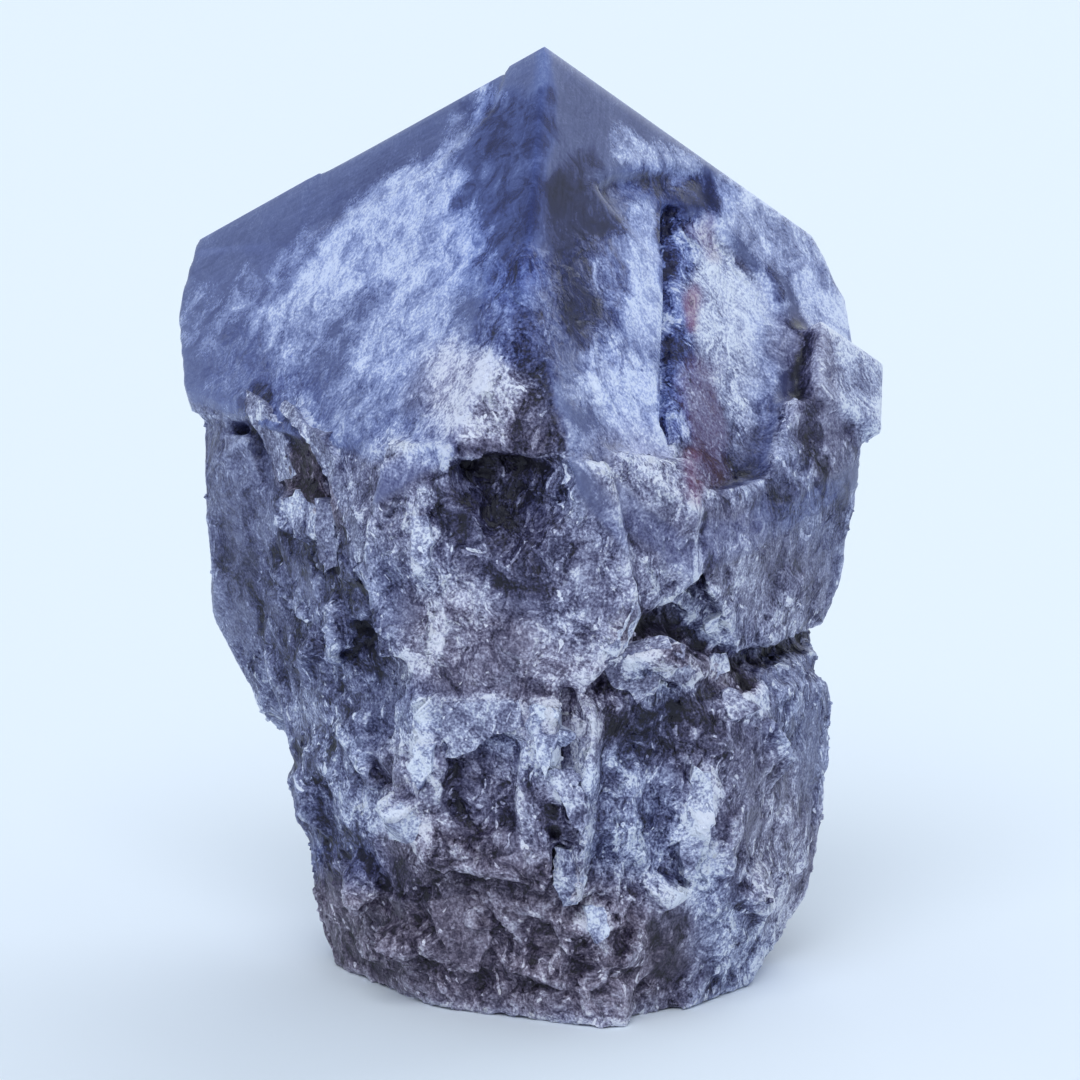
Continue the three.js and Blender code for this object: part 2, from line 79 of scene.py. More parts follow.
def selectOnly(piece):
    bpy.ops.object.select_all(action="DESELECT")
    piece.select_set(True)
    bpy.context.view_layer.objects.active = piece


def applyModifier(piece, kind, **settings):
    selectOnly(piece)
    modifier = piece.modifiers.new(kind.lower(), kind)
    for name, value in settings.items():
        setattr(modifier, name, value)
    bpy.ops.object.modifier_apply(modifier=modifier.name)


def smoothStep(low, high, value):
    t = np.clip((value - low) / (high - low), 0, 1)
    return t * t * (3 - 2 * t)


# Camera at the photograph's viewing angle, and the plan that the front is laid out on

photoView = {
    "distance": 450,  # from the camera to the middle of the picture
    "elevation": 10,  # degrees above the horizon
    "targetHeight": 44,  # height of the middle of the picture
    "lens": 150,
    "sensor": 36,
    "clip": 10,
}


def makeCamera():
    print("camera")
    tilt = math.radians(photoView["elevation"])
    reach = photoView["distance"] * mm
    target = Vector((0, 0, photoView["targetHeight"] * mm))
    data = bpy.data.cameras.new("front_camera")
    data.lens = photoView["lens"]
    data.sensor_width = photoView["sensor"]
    data.clip_start = photoView["clip"] * mm
    camera = bpy.data.objects.new("front_camera", data)
    bpy.context.scene.collection.objects.link(camera)
    camera.location = target + reach * Vector((0, -math.cos(tilt), math.sin(tilt)))
    camera.rotation_euler = (math.pi / 2 - tilt, 0, 0)
    bpy.context.scene.camera = camera


def frontPlan(points):
    # where a point (mm) appears on the upright plan through the target: right and up, in mm
    tilt = math.radians(photoView["elevation"])
    reach = photoView["distance"]
    out = points[:, 1] + reach * math.cos(tilt)
    down = points[:, 2] - photoView["targetHeight"] - reach * math.sin(tilt)
    depth = out * math.cos(tilt) - down * math.sin(tilt)
    up = out * math.sin(tilt) + down * math.cos(tilt)
    return np.stack((points[:, 0], up), axis=1) * (reach / depth)[:, None]


# The crystal

crystal = {
    "point": (0.5, 0, 93.3),  # the tip
    "turn": -2,  # degrees about the vertical, then its two leans
    "leanRight": 3.5,
    "leanFront": 12,
    "weld": 0.001,
    "voxel": 0.53,  # spacing of the surface's points
    "faceSkin": (1.0, 0.5),  # from not yet on a growth face to fully on it
    "flatPasses": 30,  # how far around it a point feels for flatness, in smoothing passes
    "flat": (0.99, 0.998),  # length of the mean normal there, from not yet flat to flat
    "bend": (4, 1.6),  # size of the bends that the strokes are given, and how far they stray
    "turnedAway": (-0.05, -0.5),  # the back has its own arrangement, from here to here
    "backShift": (11, -7),  # where the strokes start on it, as a mirror image
    "smoothing": 1,  # passes that take the solid's large facets off the broken parts
    "hackle": (3.2, 0.5),  # size and height of the fracture facets
    "chips": (1.7, 0.22),  # and of the small ones on them
    "settle": 0.05,  # how far the broken parts are let down, so that the facets stay near the solid
    "edge": (3, 0.09),  # smoothing passes over which an edge is felt, and its height; standing edges are painted lighter, small dips darker
    "hollow": (90, 1.0),  # and those of a hollow; hollows are painted darker, bulges lighter
    "broad": 7,  # size of the broad lighter and darker areas
    "sharp": 40,  # degrees past which an edge is shaded sharp
}

# What is stored at each point of a piece for the material to read
surfaceValues = ("frost", "dark", "rust", "warm", "blue", "broken", "rough", "edge", "hollow", "broad")

# Strokes on the front plan: from, to (right, up), width and amount. The middle of the picture is 0, 0.
# White frost on the etched surface; a few thin strokes are painted highlights along rims
frostAndRimHighlightStrokes = [
    (-11, 35, -20, 28, 4.0, 0.8), (-20, 28, -25, 21, 4.0, 0.6), (-10, 29, -15, 19, 5.0, 0.8),
    (-24, 26, -29, 24, 3.5, 0.4), (-17, 14, -12, 10, 4.0, 0.4), (-8, 17, -5, 14, 4.5, 0.9),
    (-14, 9, -9, 11, 3.0, 0.6), (-5, 44, -10, 38, 1.4, 0.5), (-10, 38, -14, 34, 2.0, 0.5),
    (10, 31, 11, 23, 2.6, 0.75), (8, 26, 10, 17, 2.6, 0.5), (7, 17, 11, 11, 4.0, 1.0),
    (2, 9, 10, 8, 2.8, 0.45), (9, 40, 14, 37, 2.0, 0.65), (6, 29, 6.5, 25, 1.5, 0.6),
    (17, 29, 20, 22, 3.4, 1.0), (18, 22, 21, 14, 3.2, 0.8), (21, 25, 23.5, 18, 2.4, 0.65),
    (20, 35, 30, 24, 3.2, 0.65), (27, 25, 31, 21, 2.6, 0.7), (31, 20, 33, 12, 3.0, 0.55),
    (-12, 3, -10, -6, 2.0, 0.7), (3, -2, 15, -6, 3.2, 0.5), (8, 4, 15, 5, 3.0, 0.4),
    (-6, -6, -12, -12, 3.0, 0.7), (2, -8, 8, -12, 3.0, 0.5), (-11, -17.5, 1.5, -18, 1.8, 0.9),
    (-13, -20, -11.5, -26, 1.6, 1.0), (-16, -27, -12, -31, 2.4, 0.8), (0, -18, 1.5, -25, 1.6, 0.9),
    (3.5, -18, 4, -34, 1.8, 0.7), (6.5, -12, 15, -13.5, 2.2, 0.8), (19, -15.5, 21, -17, 1.6, 0.9),
    (16, -23, 15.5, -36, 2.2, 0.95), (24, -22, 25, -36, 2.2, 0.3), (-34.5, 24, -31, 12, 3.0, 0.2),
    (-22, -18, -18, -30, 3.0, 0.4), (-20, -12, -14, -20, 2.5, 0.15), (8, -24, 13, -30, 3.0, 0.5),
    (5, -37, 6, -40, 1.6, 0.8), (-4, -48.5, 9, -48.5, 1.0, 0.5), (20, -3, 24, -8, 3.0, 0.45),
    (22, -32, 24, -40, 3.0, 0.5), (18, -38, 20, -42, 3.0, 0.5),
    (8, -31, 11, -35, 3.0, 0.6), (-5, -19, -1, -22, 2.2, 0.6), (-3.5, -22, -2, -28, 2.4, 0.4),
    (1, -13, 5, -17, 2.4, 0.6),
    # the thin strokes along the plate rims at the left, from (-24.2, 13.4) and (-19.8, 8), and the one on
    # the right flank's rim at (16.3, 3.4) are painted highlights, not frost
    (-33, 22, -24, 16, 4.0, 0.15), (-22, 16, -16, 8, 4.0, 0.25), (-24.2, 13.4, -20.2, 8.8, 1.0, 0.6),
    (-19.8, 8, -17.4, 0, 0.8, 0.5), (16.3, 3.4, 15.4, -4.2, 0.6, 0.8),
    (-25, 3, -23, 1, 1.4, 0.9), (17.5, -9, 16.5, -9, 1.2, 1.0),
    (18, -11, 18, -13.5, 1.4, 0.9),
]
# Darker places: partly painted shade, in the crevices and gaps, under the ledge and in the hollow below it,
# and in thin lines beside the plate rims; partly the darker clear windows of the growth faces
darkStrokes = [
    (0, 44, -1.5, 28, 1.4, 0.8), (-25.4, 12, -24, 7.5, 0.8, 0.9), (-24, 11, -21.6, 7, 0.8, 0.8),
    (-4, 42, -4.5, 29, 3.6, 0.6), (5, 36, 5, 30, 3.2, 0.6), (2.5, 34, 3, 25, 3.0, 0.8),
    (6, 30, 8, 24, 2.4, 0.8), (10.5, 36, 17, 34, 2.0, 0.85), (-2, 26, -3, 20, 3.0, 0.5),
    (-1, 20, 0, 10, 3.0, 0.9), (4, 22, 6, 18, 2.4, 0.6), (-5, 7, -3, -2, 3.4, 0.8),
    (-1, 8, 0, -3, 3.0, 1.0), (-9, 6, -7, 1, 2.4, 0.7), (12.8, 34, 13, 11, 0.9, 1.0),
    (14, 33, 14.3, 12, 1.3, 0.4), (15.8, 33.5, 17.5, 32, 1.4, 0.8), (25.3, 20.5, 27, 14, 1.3, 0.9),
    (27.5, 12, 28.5, 6, 1.2, 0.8),
    (22.8, 27, 23, 24.5, 0.8, 0.9), (27, 9, 30.5, 3, 2.2, 0.6), (-29, 14, -23, 7, 2.0, 0.6),
    (-24, 8, -22.5, 5, 2.0, 1.0), (-26, 5, -24, 4, 1.4, 0.8), (-22, 4, -20, 0, 1.6, 0.8),
    (-25, -1, -21, -3, 2.4, 0.7), (-20, -4, -17, -12, 2.6, 0.8), (-27, -4, -25, -12, 3.0, 0.6),
    (-32, 8, -31, -4, 3.0, 0.5), (9, -8.5, 13, -9, 1.6, 1.0), (12.5, -9, 16, -11.5, 1.8, 1.0),
    (16, -11.5, 20, -14, 1.6, 1.0), (20, -14, 25.7, -10.5, 1.2, 0.9), (-9, -23, -3, -27, 3.4, 0.35),
    (0.5, -24, 1, -28, 1.4, 1.0), (8, -16.5, 17, -21, 3.6, 0.8), (-19, -31, -12, -34, 3.0, 0.75),
    (-11, -31, 0, -35, 2.6, 0.55),
    (-23, -20, -22, -34, 2.6, 0.5), (-20, -41, 6, -42, 3.5, 0.65), (12, -39, 13, -43, 2.4, 0.7),
    (1, -38, 6, -40, 2.0, 0.5),
    (17, 8, 24, 4, 3.0, 0.6), (22, 14, 22, 7, 1.6, 0.35), (13, -14.5, 18, -17.5, 1.6, 0.5),
    (16.9, 3, 16, -4, 0.8, 0.6), (-23, -12, -20, -18, 2.4, 0.4), (-11, -24, -7, -29, 2.4, 0.35),
    (-9.5, 5.5, -6, -2, 2.6, 0.6), (0, 3, 1.6, -3, 2.0, 0.5), (18, -2, 26, -5, 2.4, 0.35),
    (8, -18, 9, -36, 2.4, 0.3),
]
rustStrokes = [
    (16, 30.5, 16.8, 28.5, 1.3, 0.4), (15.6, 24, 15.4, 21.5, 1.2, 1.0), (16, 16.5, 16.5, 7, 2.0, 0.3),
    (15, 8, 15.6, 5, 1.2, 0.6),
]
# Browner, smoky tone: mostly the crystal's own brown-purple; the wide stroke along the bottom is also
# painted shade with a painted warm reflection
warmStrokes = [
    (-20, -40, 8, -42, 8.0, 1.0), (-9, -10, 4, -16, 6.0, 0.7), (-24, 8, -22, 3, 2.5, 1.0),
    (9, -9.5, 20, -14, 2.2, 0.8), (-8, 15, -3, 10, 5.0, 0.6),
    (17, -20, 26, -34, 6.0, 0.5), (-12, -31, 2, -36, 4.0, 0.9), (10, 6, 24, -6, 6.0, 0.35),
    (-12, -24, 0, -28, 5.0, 0.5), (-14, 4, 8, -6, 6.0, 0.35), (26, 20, 29, 8, 3.0, 0.4),
]
# Bluer tint: partly the crystal's own blue-violet, partly painted sky reflection along the ridge and over
# the front faces
blueStrokes = [
    (0.3, 48, -1.3, 28, 1.6, 1.0), (-4, 42, -4.5, 28, 5.0, 0.9), (-2, 26, -2, 19, 3.0, 0.6),
    (-24, 30, -8, 30, 9.0, 0.7), (13.6, 33, 13.8, 11, 1.6, 0.6), (10, 36, 18, 34, 3.0, 0.7),
    (10, 30, 10, 12, 5.0, 0.6), (-22, -34, -14, -36, 5.0, 0.5),
]
hackleStrokes = [
    (-20, -38, 10, -40, 8.0, 0.6), (-24, 3, -19, -10, 4.0, 0.7), (8, -12, 24, -14, 3.0, 0.8),
    (-14, -24, -10, -30, 4.0, 0.7), (16, -26, 20, -38, 5.0, 0.6),
]
etchedStrokes = [
    (-2, 25, -2, 8, 4.5, 1.0), (-8, 17, -5, 12, 4.5, 0.8), (7, 17, 12, 11, 4.0, 0.6),
    (-14, 9, -9, 11, 4.0, 0.8), (6, 27, 9, 16, 3.0, 0.6), (-26, 15, -22, 9, 3.0, 0.8),
    (9, 1, 15, -2, 3.0, 0.9), (17, 1, 27, 2.5, 4.4, 0.9), (22, 13, 22, 7, 2.0, 0.6),
    (-28, 17, -16, 8, 5.0, 0.5),
]

smoothStrokes = [
    (19, 4, 26, 0, 6.0, 0.35), (-30.5, 10, -30.5, -7, 3.6, 0.85), (30.5, 20, 31, 13, 4.2, 1.0),
    (12.4, -38.5, 12.4, -42.5, 2.2, 0.9), (-9, -37, -6.5, -42, 1.8, 0.8),
]


def cubeWays():
    # the three cube edges that meet at the tip: down the front, back to the left, back to the right
    turn = (
        Matrix.Rotation(math.radians(crystal["turn"]), 3, "Z")
        @ Matrix.Rotation(math.radians(crystal["leanRight"]), 3, "Y")
        @ Matrix.Rotation(math.radians(crystal["leanFront"]), 3, "X")
    )
    ways = []
    for azimuth in (0, -120, 120):
        side = math.radians(azimuth)
        out = math.sqrt(2 / 3)
        ways.append(turn @ Vector((out * math.sin(side), -out * math.cos(side), -math.sqrt(1 / 3))))
    return ways


def painted(plan, strokes):
    bare = np.ones(len(plan))
    for u1, v1, u2, v2, width, amount in strokes:
        start = np.array((u1, v1), float)
        way = np.array((u2 - u1, v2 - v1), float)
        along = np.clip((plan - start) @ way / max(way @ way, 0.01), 0, 1)
        off = np.linalg.norm(plan - start - along[:, None] * way, axis=1) / width
        bare *= 1 - amount * smoothStep(1.35, 0.45, off)
    return 1 - bare


def meshPoints(mesh):
    flat = np.empty(len(mesh.vertices) * 3)
    mesh.vertices.foreach_get("co", flat)
    return flat.reshape(-1, 3) / mm


def meshNormals(mesh):
    flat = np.empty(len(mesh.vertices) * 3)
    mesh.vertices.foreach_get("normal", flat)
    return flat.reshape(-1, 3)


def noiseAt(points, size, seed=0):
    # soft noise from about -1 to 1, with humps of about this size
    offset = Vector((seed * 17.3, seed * 5.1, seed * 9.7))
    return np.array([noise.noise(Vector(p) / size + offset) for p in points])


def facetsAt(points, size, seed=0):
    # each cell of a broken surface is a small flat facet tilted its own way
    offset = Vector((seed * 31.7, seed * 7.3, seed * 13.9))
    heights = []
    for point in points:
        place = Vector(point) / size + offset
        middle = noise.voronoi(place)[1][0]
        tilt = noise.cell_vector(middle * 97) - Vector((0.5, 0.5, 0.5))
        heights.append(2.4 * (place - middle).dot(tilt) + noise.cell(middle * 53) * 0.5)
    return np.array(heights)


def smoothed(points, edges, passes):
    count = np.bincount(edges.ravel(), minlength=len(points))
    for _ in range(passes):
        total = np.empty_like(points)
        for axis in range(3):
            side = points[:, axis]
            total[:, axis] = np.bincount(edges[:, 0], side[edges[:, 1]], len(points))
            total[:, axis] += np.bincount(edges[:, 1], side[edges[:, 0]], len(points))
        points = (points + total / count[:, None]) / 2
    return points


def storeValue(mesh, name, values):
    layer = mesh.attributes.new(name, "FLOAT", "POINT")
    layer.data.foreach_set("value", np.ascontiguousarray(values, dtype=np.float32))


def storeTorn(mesh):
    # each point's place, strayed a little, so that patterns laid out on it have torn outlines
    places = meshPoints(mesh)
    for size, reach in ((2.6, 1.7), (1.2, 0.5)):
        places = places + reach * np.array([noise.noise_vector(Vector(p) / size) for p in places])
    layer = mesh.attributes.new("torn", "FLOAT_VECTOR", "POINT")
    layer.data.foreach_set("vector", places.astype(np.float32).ravel())


def makeCrystal():
    print("crystal: finer mesh")
    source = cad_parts["fluorite_cluster"]
    piece = bpy.data.objects.new("crystal", source.data.copy())
    bpy.context.scene.collection.objects.link(piece)
    selectOnly(piece)
    bpy.ops.object.mode_set(mode="EDIT")
    bpy.ops.mesh.select_all(action="SELECT")
    bpy.ops.mesh.remove_doubles(threshold=crystal["weld"] * mm)
    bpy.ops.object.mode_set(mode="OBJECT")

    ways = cubeWays()
    square = Matrix(ways).to_4x4()  # turns the cube faces square to the axes, so they stay flat and sharp
    piece.data.transform(square)
    applyModifier(piece, "REMESH", mode="VOXEL", voxel_size=crystal["voxel"] * mm)
    piece.data.transform(square.inverted())
    return piece, ways


def sculptCrystal(piece, ways):
    print("crystal: broken surfaces")
    mesh = piece.data
    points = meshPoints(mesh)
    edges = np.empty(len(mesh.edges) * 2, dtype=np.int32)
    mesh.edges.foreach_get("vertices", edges)
    edges = edges.reshape(-1, 2)

    # how far a point is along the ridge, the left edge and the right edge; on the face opposite it is 0
    fromTip = (points - np.array(crystal["point"])) @ np.array(ways).T
    backFace, rightFace, leftFace = smoothStep(*crystal["faceSkin"], np.abs(fromTip)).T
    onFace = np.maximum(np.maximum(backFace, rightFace), leftFace)

    normals = meshNormals(mesh)
    lie = smoothed(normals, edges, crystal["flatPasses"])  # which way the surface faces, more or less
    flat = smoothStep(*crystal["flat"], np.linalg.norm(lie, axis=1))
    bendSize, bendReach = crystal["bend"]
    warp = np.stack([noiseAt(points, bendSize, seed) for seed in (1, 2)], axis=1)
    plan = frontPlan(points) + bendReach * warp
    backPlan = plan * (-1, 1) + crystal["backShift"]
    eye = np.array(bpy.context.scene.camera.location.normalized())
    behind = smoothStep(*crystal["turnedAway"], lie @ eye)

    def laidOut(strokes, atBack=1):
        return painted(plan, strokes) * (1 - behind) + atBack * painted(backPlan, strokes) * behind

    etchedHere = laidOut(etchedStrokes)
    smooth = laidOut(smoothStrokes)
    coarse = laidOut(hackleStrokes)
    flat *= 1 - etchedHere
    rough = np.maximum((1 - onFace) * (1 - 0.85 * flat) * (1 - smooth), 0.6 * etchedHere)
    sugary = np.maximum((1 - onFace) * (1 - 0.25 * flat) * (1 - 0.3 * smooth), 0.8 * etchedHere)
    # bluer where the strokes say, and on the left and right growth faces by which way they face: partly own
    # colour, partly painted sky reflection
    blue = np.maximum(laidOut(blueStrokes), 0.65 * leftFace)
    blue = np.maximum(np.maximum(blue, 0.45 * rightFace), 0.15)

    points += (smoothed(points, edges, crystal["smoothing"]) - points) * rough[:, None]
    size, height = crystal["hackle"]
    chipSize, chipHeight = crystal["chips"]
    relief = height * (0.25 + 0.75 * coarse) * facetsAt(points, size, 1)
    relief += chipHeight * (0.5 + 0.5 * coarse) * facetsAt(points, chipSize, 2)
    points += normals * (rough * (relief - crystal["settle"]))[:, None]
    points = np.clip(points, *(np.array(corner) / mm for corner in cadBox))
    mesh.vertices.foreach_set("co", (points * mm).ravel())
    mesh.update()

    normals = meshNormals(mesh)
    # edge and hollow: painted light on what stands out and painted shade in what sinks in
    stands = {}
    for name in ("edge", "hollow"):
        passes, height = crystal[name]
        above = ((points - smoothed(points, edges, passes)) * normals).sum(axis=1)
        stands[name] = np.clip(above / height, -1, 1)
    for name, values in (
        # frost also holds the painted highlights along the rims
        ("frost", laidOut(frostAndRimHighlightStrokes)), ("dark", laidOut(darkStrokes, 1 - 0.6 * onFace)),
        ("rust", painted(plan, rustStrokes) * (1 - behind)), ("warm", laidOut(warmStrokes)),
        ("blue", blue), ("broken", sugary), ("rough", rough), ("edge", stands["edge"]),
        ("hollow", stands["hollow"]), ("broad", noiseAt(points, crystal["broad"], 5)),
    ):
        storeValue(mesh, name, values)

    # growth lines run along a front face, so a place on it is given by its two edges
    across = np.where(leftFace > 0.5, fromTip[:, 0], fromTip[:, 2])
    along = np.where(leftFace > 0.5, fromTip[:, 1], fromTip[:, 0])
    layer = mesh.attributes.new("growth", "FLOAT_VECTOR", "POINT")
    layer.data.foreach_set("vector", np.stack((across, along, leftFace), axis=1).astype(np.float32).ravel())
    storeTorn(mesh)
    selectOnly(piece)
    bpy.ops.object.shade_smooth_by_angle(angle=math.radians(crystal["sharp"]))


# Cleavage flakes that stand proud of the front

flakes = {
    "thickness": 1.6,  # most of it sunk in the crystal
    "step": 0.6,  # between the points of a flake's rim
    "ragged": 0.45,  # how far those points stray
    "rise": (0.12, 1.6),  # least and most that a point of the rim stands off the surface
    "turned": 0.5,  # how far they are turned from their own plane to the camera
    "outlines": (  # on the front plan: lift, frost, warmth, then the corners (right, up)
        (0.7, 0.6, 0.1, ((-13, 2.4), (-11.2, 2.6), (-10.8, -0.4), (-11.6, -3.2), (-12.8, -1.6))),
        (0.9, 0.9, 0.1, ((6.8, -11.4), (9.8, -6.2), (10.3, -6.8), (8.9, -10.2), (7.6, -11.8))),
        (1.0, 0.3, 0.3, ((6.4, -12.2), (9.4, -11), (13, -10.8), (15.8, -13.2), (14.6, -14.4),
                          (12.2, -14.2), (10.9, -15.8), (9.7, -16.4), (8.7, -15.2), (7, -14.6))),
        (1.0, 0.95, 0.0, ((16.4, -8.6), (18, -7.4), (17.8, -9), (16.6, -9.4))),
        (0.9, 0.6, 0.3, ((18.2, -14.8), (19.8, -15.2), (22, -16.8), (20, -18), (18.6, -17.6))),
        (0.9, 0.8, 0.2, ((17, -11.6), (18.6, -11.4), (19.2, -13.2), (17.6, -13.8))),
        (1.0, 0.55, 0.2, ((-9.9, -16.4), (-2, -16.2), (-1.6, -18.8), (-4.6, -19.4), (-6, -20.6),
                          (-8.8, -21.8), (-9.8, -19.6))),
        (1.4, 0.75, 0.0, ((-1.2, -16.4), (2, -16.8), (1.8, -19.6), (0.4, -24.1), (-0.6, -20))),
        (1.0, 0.9, 0.0, ((-12.4, -20.4), (-10.6, -20.6), (-10.9, -23.4), (-12.2, -25), (-13.3, -23))),
        (0.9, 0.75, 0.1, ((-15.8, -27), (-13.8, -26.4), (-11.8, -28.2), (-12.8, -30.4), (-15, -30))),
        (1.1, 0.5, 0.2, ((0.8, -23), (3.4, -22.6), (4.9, -27.4), (4, -29.6), (2.4, -26.8))),
        (1.0, 0.75, 0.1, ((1.4, -30.8), (3, -31), (3.6, -34.4), (2.4, -36.7), (1.3, -34))),
        (1.0, 0.8, 0.0, ((4.6, -36.4), (6.4, -36.8), (7.1, -39.4), (5.8, -40.4), (4.8, -38.8))),
        (0.7, 0.0, 1.0, ((-11.2, -36), (-7.6, -35.8), (-4.6, -39.6), (-6.6, -43.4), (-9.4, -41.6))),
        (0.8, 0.85, 0.1, ((15.2, -22.8), (17.2, -23.4), (17.4, -28), (16.2, -31), (15, -34.8),
                          (14, -31.4), (14.8, -27.4))),
        (0.8, 0.7, 0.0, ((-25.6, 4.3), (-24.4, 4.9), (-22.3, 3.2), (-22.2, 1.4), (-23.6, 0.2),
                         (-25.2, 1.6))),
        (0.8, 0.2, 0.1, ((-22.6, 4.2), (-20.8, 3.2), (-20.2, -2.5), (-21.5, -3.3), (-22.4, -1))),
        (1.2, 0.35, 0.1, ((-29.4, 15.1), (-25.9, 11.7), (-24.4, 6.3), (-26, 5.9), (-27.4, 9.5),
                          (-29.6, 12.8))),
        (1.2, 0.35, 0.1, ((-25.4, 14.1), (-22.5, 10.6), (-20.5, 8), (-18.6, 2.8), (-17.1, -2.3),
                          (-18.4, -2.2), (-20, 3), (-21.8, 7.4), (-23.6, 10.2), (-26, 13))),
    ),
}


def raggedRim(corners, number):
    rim = []
    for (u1, v1), (u2, v2) in zip(corners, corners[1:] + corners[:1]):
        count = max(1, round(math.hypot(u2 - u1, v2 - v1) / flakes["step"]))
        for part in np.arange(count) / count:
            stray = flakes["ragged"] * noise.noise_vector(Vector((len(rim) * 0.9, number * 3.1, 0.5)))
            rim.append((u1 + (u2 - u1) * part + stray[0], v1 + (v2 - v1) * part + stray[1]))
    return rim


def makeFlakes(body):
    print("cleavage flakes")
    surface = BVHTree.FromPolygons(
        [tuple(point) for point in meshPoints(body.data)], [tuple(p.vertices) for p in body.data.polygons]
    )
    tilt = math.radians(photoView["elevation"])
    eye = bpy.context.scene.camera.location / mm
    points, faces, white, warm = [], [], [], []
    for number, (lift, frost, warmth, corners) in enumerate(flakes["outlines"]):
        hits = []
        for u, v in raggedRim(corners, number):
            aim = Vector((u, v * math.sin(tilt), photoView["targetHeight"] + v * math.cos(tilt)))
            hits.append(surface.ray_cast(eye, (aim - eye).normalized())[0])
        if None in hits:
            continue
        middle = sum(hits, Vector()) / len(hits)
        toEye = (eye - middle).normalized()
        level = Vector(np.linalg.svd(np.array(hits) - np.array(middle))[2][2])  # the hits' own plane
        level = (level * (1 if level.dot(toEye) > 0 else -1) + flakes["turned"] * toEye).normalized()
        faces.append(range(len(points) + len(hits) - 1, len(points) - 1, -1))  # facing the camera
        for hit in hits:
            ray = (eye - hit).normalized()
            rise = (middle - hit).dot(level) / ray.dot(level) + lift
            point = hit + min(max(flakes["rise"][0], rise), flakes["rise"][1]) * ray
            points.append(Vector(np.clip(point, cadBox[0] / mm, cadBox[1] / mm)))
        white += [frost + 0.5 * noise.noise(Vector((n * 0.45, number * 1.7, 0))) for n in range(len(hits))]
        warm += [warmth] * len(hits)

    mesh = bpy.data.meshes.new("cleavage_flakes")
    mesh.from_pydata([tuple(point * mm) for point in points], [], [tuple(face) for face in faces])
    piece = bpy.data.objects.new("cleavage_flakes", mesh)
    bpy.context.scene.collection.objects.link(piece)
    # edge and hollow give every flake a little painted light
    same = {"broken": 0.9, "rough": 0.5, "blue": 0.1, "edge": 0.1, "hollow": 0.1}
    for name in surfaceValues:
        values = {"frost": white, "warm": warm}.get(name, [same.get(name, 0.0)] * len(points))
        storeValue(mesh, name, values)
    selectOnly(piece)
    bpy.ops.object.mode_set(mode="EDIT")
    bpy.ops.mesh.select_all(action="SELECT")
    bpy.ops.mesh.quads_convert_to_tris()
    bpy.ops.object.mode_set(mode="OBJECT")
    applyModifier(piece, "SOLIDIFY", thickness=flakes["thickness"] * mm, offset=-1)
    storeTorn(piece.data)
    return piece


# Small crystals etched out of the broken surfaces

grains = {
    "count": 2200,
    "size": (0.25, 0.6),  # of their sides
    "sunk": 0.15,
    "turn": 0.22,  # how far they stray from the main crystal's direction, radians
    "clear": 1.2,  # none this near the specimen's outermost points
    "frostStray": (-0.2, 0.3),  # how much less or more frosted than the surface they stand in
    "seed": 11,
}


def makeGrains(body, ways):
    print("grains")
    pick = np.random.default_rng(grains["seed"])
    mesh = body.data
    places = meshPoints(mesh)
    normals = meshNormals(mesh)
    layers = {}
    for name in surfaceValues:
        layers[name] = np.empty(len(places), dtype=np.float32)
        mesh.attributes[name].data.foreach_get("value", layers[name])
    low, high = (np.array(corner) / mm for corner in cadBox)
    inside = ((places > low + grains["clear"]) & (places < high - grains["clear"])).all(axis=1)
    likely = np.clip(layers["rough"], 0, 1) ** 2 * inside
    chosen = pick.choice(len(places), grains["count"], replace=False, p=likely / likely.sum())

    bpy.ops.object.select_all(action="DESELECT")
    bpy.ops.mesh.primitive_cube_add(size=1)
    cube = bpy.context.active_object.data
    corners = np.array([corner.co for corner in cube.vertices])
    sides = [tuple(side.vertices) for side in cube.polygons]
    bpy.data.meshes.remove(cube)
    lattice = Matrix(ways).transposed()
    points, faces = [], []
    for home in chosen:
        turn = np.array(Euler(pick.normal(0, grains["turn"], 3)).to_matrix() @ lattice)
        size = pick.uniform(*grains["size"], 3)
        middle = places[home] - grains["sunk"] * normals[home]
        faces += [tuple(len(points) + corner for corner in side) for side in sides]
        points += list(middle + (corners * size) @ turn.T)
    made = bpy.data.meshes.new("grains")
    made.from_pydata([tuple(point * mm) for point in points], [], faces)
    piece = bpy.data.objects.new("grains", made)
    bpy.context.scene.collection.objects.link(piece)
    for name, values in layers.items():
        stray = pick.uniform(*grains["frostStray"], len(chosen)) if name == "frost" else 0
        storeValue(made, name, np.repeat(np.clip(values[chosen] + stray, -1, 1), 8))
    selectOnly(piece)
    bpy.ops.object.mode_set(mode="EDIT")
    bpy.ops.mesh.select_all(action="SELECT")
    bpy.ops.mesh.normals_make_consistent(inside=False)
    bpy.ops.object.mode_set(mode="OBJECT")
    storeTorn(made)
    return piece


# The stone that all the pieces are made of

stone = {
    "patch": 2.4,  # mm across the patches of etching
    "upright": 0.65,  # they run up and down the body: their scale in that direction
    "crumb": 0.26,  # mm, the smallest etched facets that still show; the real ones are finer
    "chip": 1.3,  # mm, facets that catch the light one by one; besides their tilt, each is painted a little lighter or darker as a glint
    "speck": 0.38,
    "growthLine": (1 / 2.4, 5),  # mm across and along a growth line
    "slate": ("#131220", "#2f3050", "#5a5b7c", "#868aa9", "#b7bddb", "#eef3ff"),  # darkest to lightest
    "violetBlue": ("#161840", "#303a76", "#5767aa", "#7b8dcc", "#a5b6ec", "#d6e0ff"),
    "smoky": ("#17111e", "#382f48", "#5f566b", "#8b8297", "#bab5cb", "#eeecf8"),
    "rust": "#8e4c70",
    "inside": "#9aa2e0",  # what the light keeps on its way through the crystal
    "density": 25.0,
    "ior": 1.434,
}


